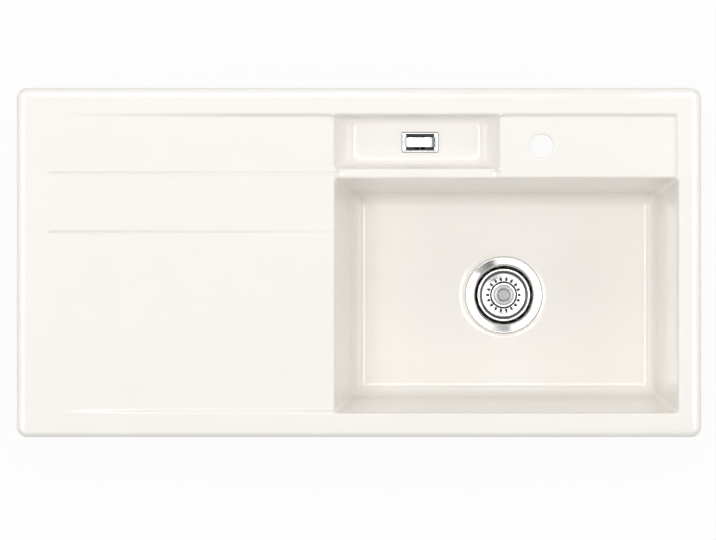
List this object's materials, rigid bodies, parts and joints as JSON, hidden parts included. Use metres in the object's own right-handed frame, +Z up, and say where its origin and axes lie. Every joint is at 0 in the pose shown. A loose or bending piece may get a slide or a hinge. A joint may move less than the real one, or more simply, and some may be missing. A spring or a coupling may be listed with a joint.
{
  "type": "ceramic kitchen sink",
  "caption": "Inset glazed ceramic kitchen sink with a grooved drainer, scrap recess with overflow, bare tap hole, and a deep bowl with a lift-out basket strainer waste.",
  "frame": {"origin": "middle of the rim's outline, on the flat underside that rests on the worktop", "axes": "+X to the right along the length, from drainer to bowl; +Y to the back, towards the tap hole; +Z up"},
  "size_m": [1, 0.51, 0.3],
  "materials": {
    "glaze": "glossy cream-white glaze",
    "stainless": "polished stainless steel",
    "chrome": "bright chrome plate",
    "brass": "turned brass",
    "rubber": "matt black rubber",
    "plastic": "satin white plastic"
  },
  "bodies": {
    "sink": {"sink_body": "glaze", "waste_flange": "stainless", "flange_gasket": "rubber", "waste_gasket": "rubber", "waste_body": "plastic", "clamp_insert": "brass", "clamp_screw": "stainless", "overflow_frame": "chrome", "overflow_screw": "stainless", "overflow_gasket": "rubber", "overflow_housing": "plastic", "overflow_pipe": "plastic", "pipe_nut_upper": "plastic", "pipe_nut_lower": "plastic", "pipe_seals": "rubber"},
    "stem": {"basket_stem": "stainless", "stem_clip": "stainless", "stem_o_ring": "rubber"},
    "basket": {"strainer_basket": "stainless", "basket_knob": "stainless", "seal_carrier": "plastic", "basket_seal": "rubber"},
    "cover": {"overflow_cover": "chrome"}
  },
  "joints": [
    {"name": "basket_lift", "type": "slide", "parent": "sink", "child": "stem", "axis": [0, 0, 1], "range_m": [0, 0.28]},
    {"name": "basket_turn", "type": "hinge", "parent": "stem", "child": "basket", "pos_m": [0.215, -0.048, -0.207], "axis": [0, 0, 1], "continuous": true},
    {"name": "cover_lift", "type": "slide", "parent": "sink", "child": "cover", "axis": [0, 0, 1], "range_m": [0, 0.06]}
  ]
}
